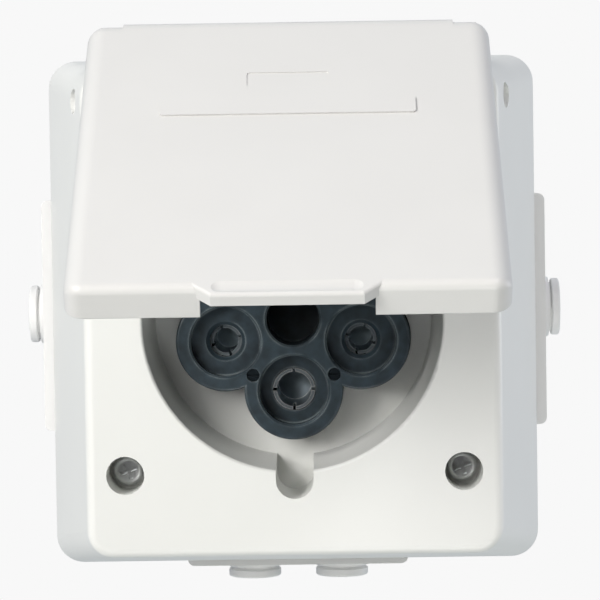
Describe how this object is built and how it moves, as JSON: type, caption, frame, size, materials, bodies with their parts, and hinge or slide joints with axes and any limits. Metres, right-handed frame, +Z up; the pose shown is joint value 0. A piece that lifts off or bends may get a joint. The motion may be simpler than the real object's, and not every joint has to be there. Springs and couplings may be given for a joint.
{
  "type": "three-phase wall socket",
  "caption": "Surface wall socket for three phases with a hinged lid, a round well with a keyway, a lobed contact insert and blind cable entries.",
  "frame": {"origin": "middle of the back face, on the wall", "axes": "+Y into the wall, +Z up, +X to the right as seen from the front; the socket faces -Y"},
  "size_m": [0.1174, 0.1345, 0.1211],
  "materials": {
    "white_cover": "satin moulded",
    "white_lid": "satin moulded",
    "white_box": "satin moulded",
    "white_plug": "soft satin",
    "black_insert": "satin moulded",
    "contact_brass": "nickel-tinted",
    "spring_steel": "drawn wire",
    "screw_steel": "zinc plated",
    "pin_steel": "drawn",
    "dark_rubber": "matt",
    "grey_rubber": "matt"
  },
  "bodies": {
    "socket": {"back_box": "white_box", "cover_gasket": "dark_rubber", "front_cover": "white_cover", "hinge_pin_left": "pin_steel", "hinge_pin_right": "pin_steel", "contact_carrier": "black_insert", "carrier_gasket": "dark_rubber", "terminal_carrier": "black_insert", "terminal_screws": "screw_steel", "cover_screws": "screw_steel", "carrier_screws": "screw_steel", "flange_screws": "screw_steel", "earth_contact": "contact_brass", "phase_contact_1": "contact_brass", "phase_contact_2": "contact_brass", "phase_contact_3": "contact_brass", "neutral_contact": "contact_brass", "earth_spring": "spring_steel", "phase_spring_1": "spring_steel", "phase_spring_2": "spring_steel", "phase_spring_3": "spring_steel", "neutral_spring": "spring_steel", "entry_plug_left": "white_plug", "entry_plug_right": "white_plug", "entry_plug_bottom_left": "white_plug", "entry_plug_bottom_right": "white_plug"},
    "lid": {"lid": "white_lid", "lid_gasket": "grey_rubber"}
  },
  "joints": [
    {"name": "lid_hinge", "type": "hinge", "parent": "socket", "child": "lid", "pos_m": [0, -0.0535, 0.04545], "axis": [-1, 0, 0], "range_deg": [-55, 41]}
  ]
}
